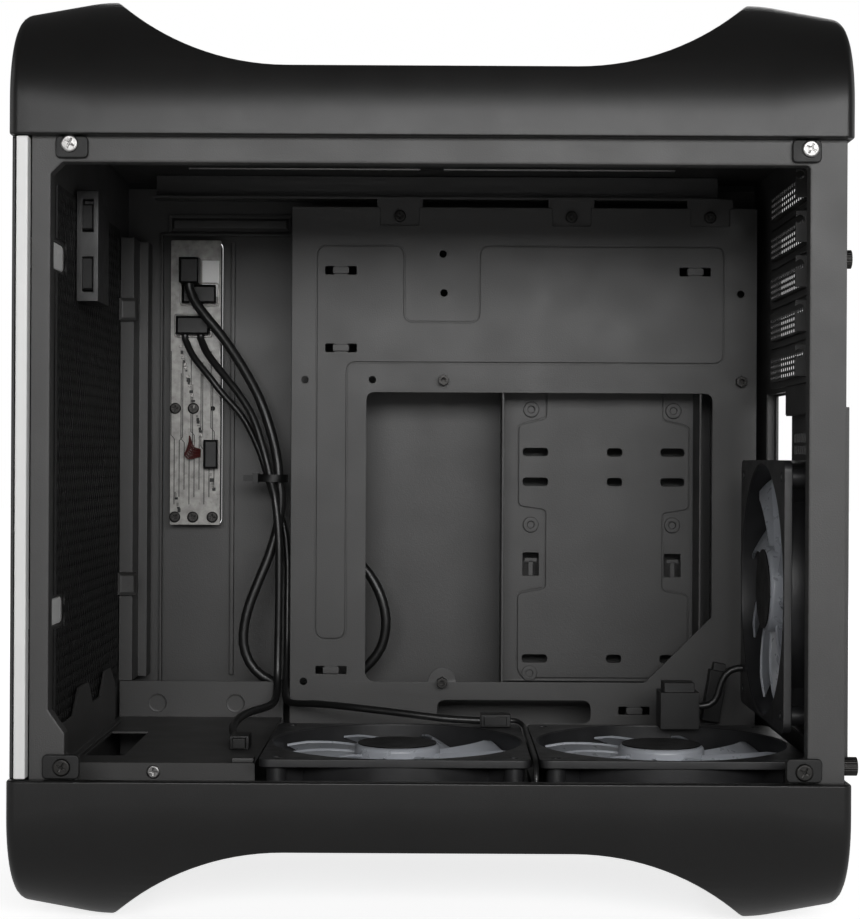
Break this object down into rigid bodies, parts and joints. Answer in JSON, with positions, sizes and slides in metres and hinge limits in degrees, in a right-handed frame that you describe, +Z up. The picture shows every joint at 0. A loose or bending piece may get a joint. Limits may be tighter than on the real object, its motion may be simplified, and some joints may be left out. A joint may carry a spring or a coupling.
{
  "type": "computer case",
  "caption": "Small tower computer case with looped carrying handles above and below, shown with one side cover off, its board tray, fans and front lead set in place.",
  "frame": {"origin": "bottom centre of the bounding box, on the ground under the lower handle", "axes": "+Z up; the open side faces -Y, the front panel faces -X, the rear faces +X"},
  "size_m": [0.363, 0.25, 0.408],
  "materials": {
    "soft_black_shell": "soft-touch black",
    "painted_steel": "black powder coat",
    "front_skin": "textured black",
    "light_bar": "frosted white",
    "fan_frame_plastic": "moulded black",
    "fan_blade": "smoky translucent",
    "black_plastic": "moulded black",
    "zinc_screw": "zinc plated",
    "black_screw": "black oxide",
    "circuit_board": "soldered board",
    "port_metal": "plated shell",
    "cord_sleeve": "black sleeve"
  },
  "bodies": {
    "case": {"top_handle": "soft_black_shell", "bottom_handle": "soft_black_shell", "front_panel": "front_skin", "light_bar_near": "light_bar", "light_bar_far": "light_bar", "near_frame": "painted_steel", "far_frame": "painted_steel", "front_wall": "painted_steel", "front_mesh": "painted_steel", "rear_panel": "painted_steel", "top_deck": "painted_steel", "floor_pan": "painted_steel", "motherboard_tray": "painted_steel", "top_beam": "painted_steel", "drive_bracket": "painted_steel", "far_front_post": "painted_steel", "lower_far_plate": "painted_steel", "front_platform": "painted_steel", "lower_front_bracket": "painted_steel", "far_cover": "painted_steel", "io_bezel": "black_plastic", "io_board": "circuit_board", "usb_port_1": "port_metal", "usb_port_2": "port_metal", "audio_jack_1": "black_plastic", "audio_jack_2": "black_plastic", "front_floor_fan_frame": "fan_frame_plastic", "rear_floor_fan_frame": "fan_frame_plastic", "rear_fan_frame": "fan_frame_plastic", "upper_front_clip": "black_plastic", "upper_rear_clip": "black_plastic", "lower_front_clip": "black_plastic", "lower_rear_clip": "black_plastic", "upper_front_screw": "zinc_screw", "upper_rear_screw": "zinc_screw", "lower_front_screw": "black_screw", "lower_rear_screw": "black_screw", "upper_thumbscrew": "black_screw", "lower_thumbscrew": "black_screw", "fan_hub": "black_plastic", "usb_cord": "cord_sleeve", "audio_cord": "cord_sleeve", "panel_cord": "cord_sleeve", "fan_cord": "cord_sleeve", "rear_fan_cord": "cord_sleeve", "cable_tie": "black_plastic", "usb_plug": "black_plastic", "panel_plug": "black_plastic", "audio_plug": "black_plastic", "rear_fan_plug": "black_plastic", "slot_cover_1": "painted_steel", "slot_cover_2": "painted_steel", "slot_cover_3": "painted_steel", "slot_cover_4": "painted_steel", "slot_cover_5": "painted_steel"},
    "front_floor_fan": {"front_floor_fan_rotor": "fan_blade"},
    "rear_floor_fan": {"rear_floor_fan_rotor": "fan_blade"},
    "rear_fan": {"rear_fan_rotor": "fan_blade"},
    "power": {"power_button": "black_plastic"},
    "reset": {"reset_button": "black_plastic"}
  },
  "joints": [
    {"name": "front_floor_fan_spin", "type": "hinge", "parent": "case", "child": "front_floor_fan", "pos_m": [-0.01695, -0.0345, 0.0598], "axis": [0, 0, 1], "continuous": true},
    {"name": "rear_floor_fan_spin", "type": "hinge", "parent": "case", "child": "rear_floor_fan", "pos_m": [0.10665, -0.0345, 0.0598], "axis": [0, 0, 1], "continuous": true},
    {"name": "rear_fan_spin", "type": "hinge", "parent": "case", "child": "rear_fan", "pos_m": [0.16495, -0.038, 0.1445], "axis": [1, 0, 0], "continuous": true},
    {"name": "power_push", "type": "slide", "parent": "case", "child": "power", "axis": [0, -1, 0], "range_m": [0, 0.0015], "stiffness_N_per_m": 300},
    {"name": "reset_push", "type": "slide", "parent": "case", "child": "reset", "axis": [0, -1, 0], "range_m": [0, 0.0015], "stiffness_N_per_m": 300}
  ]
}
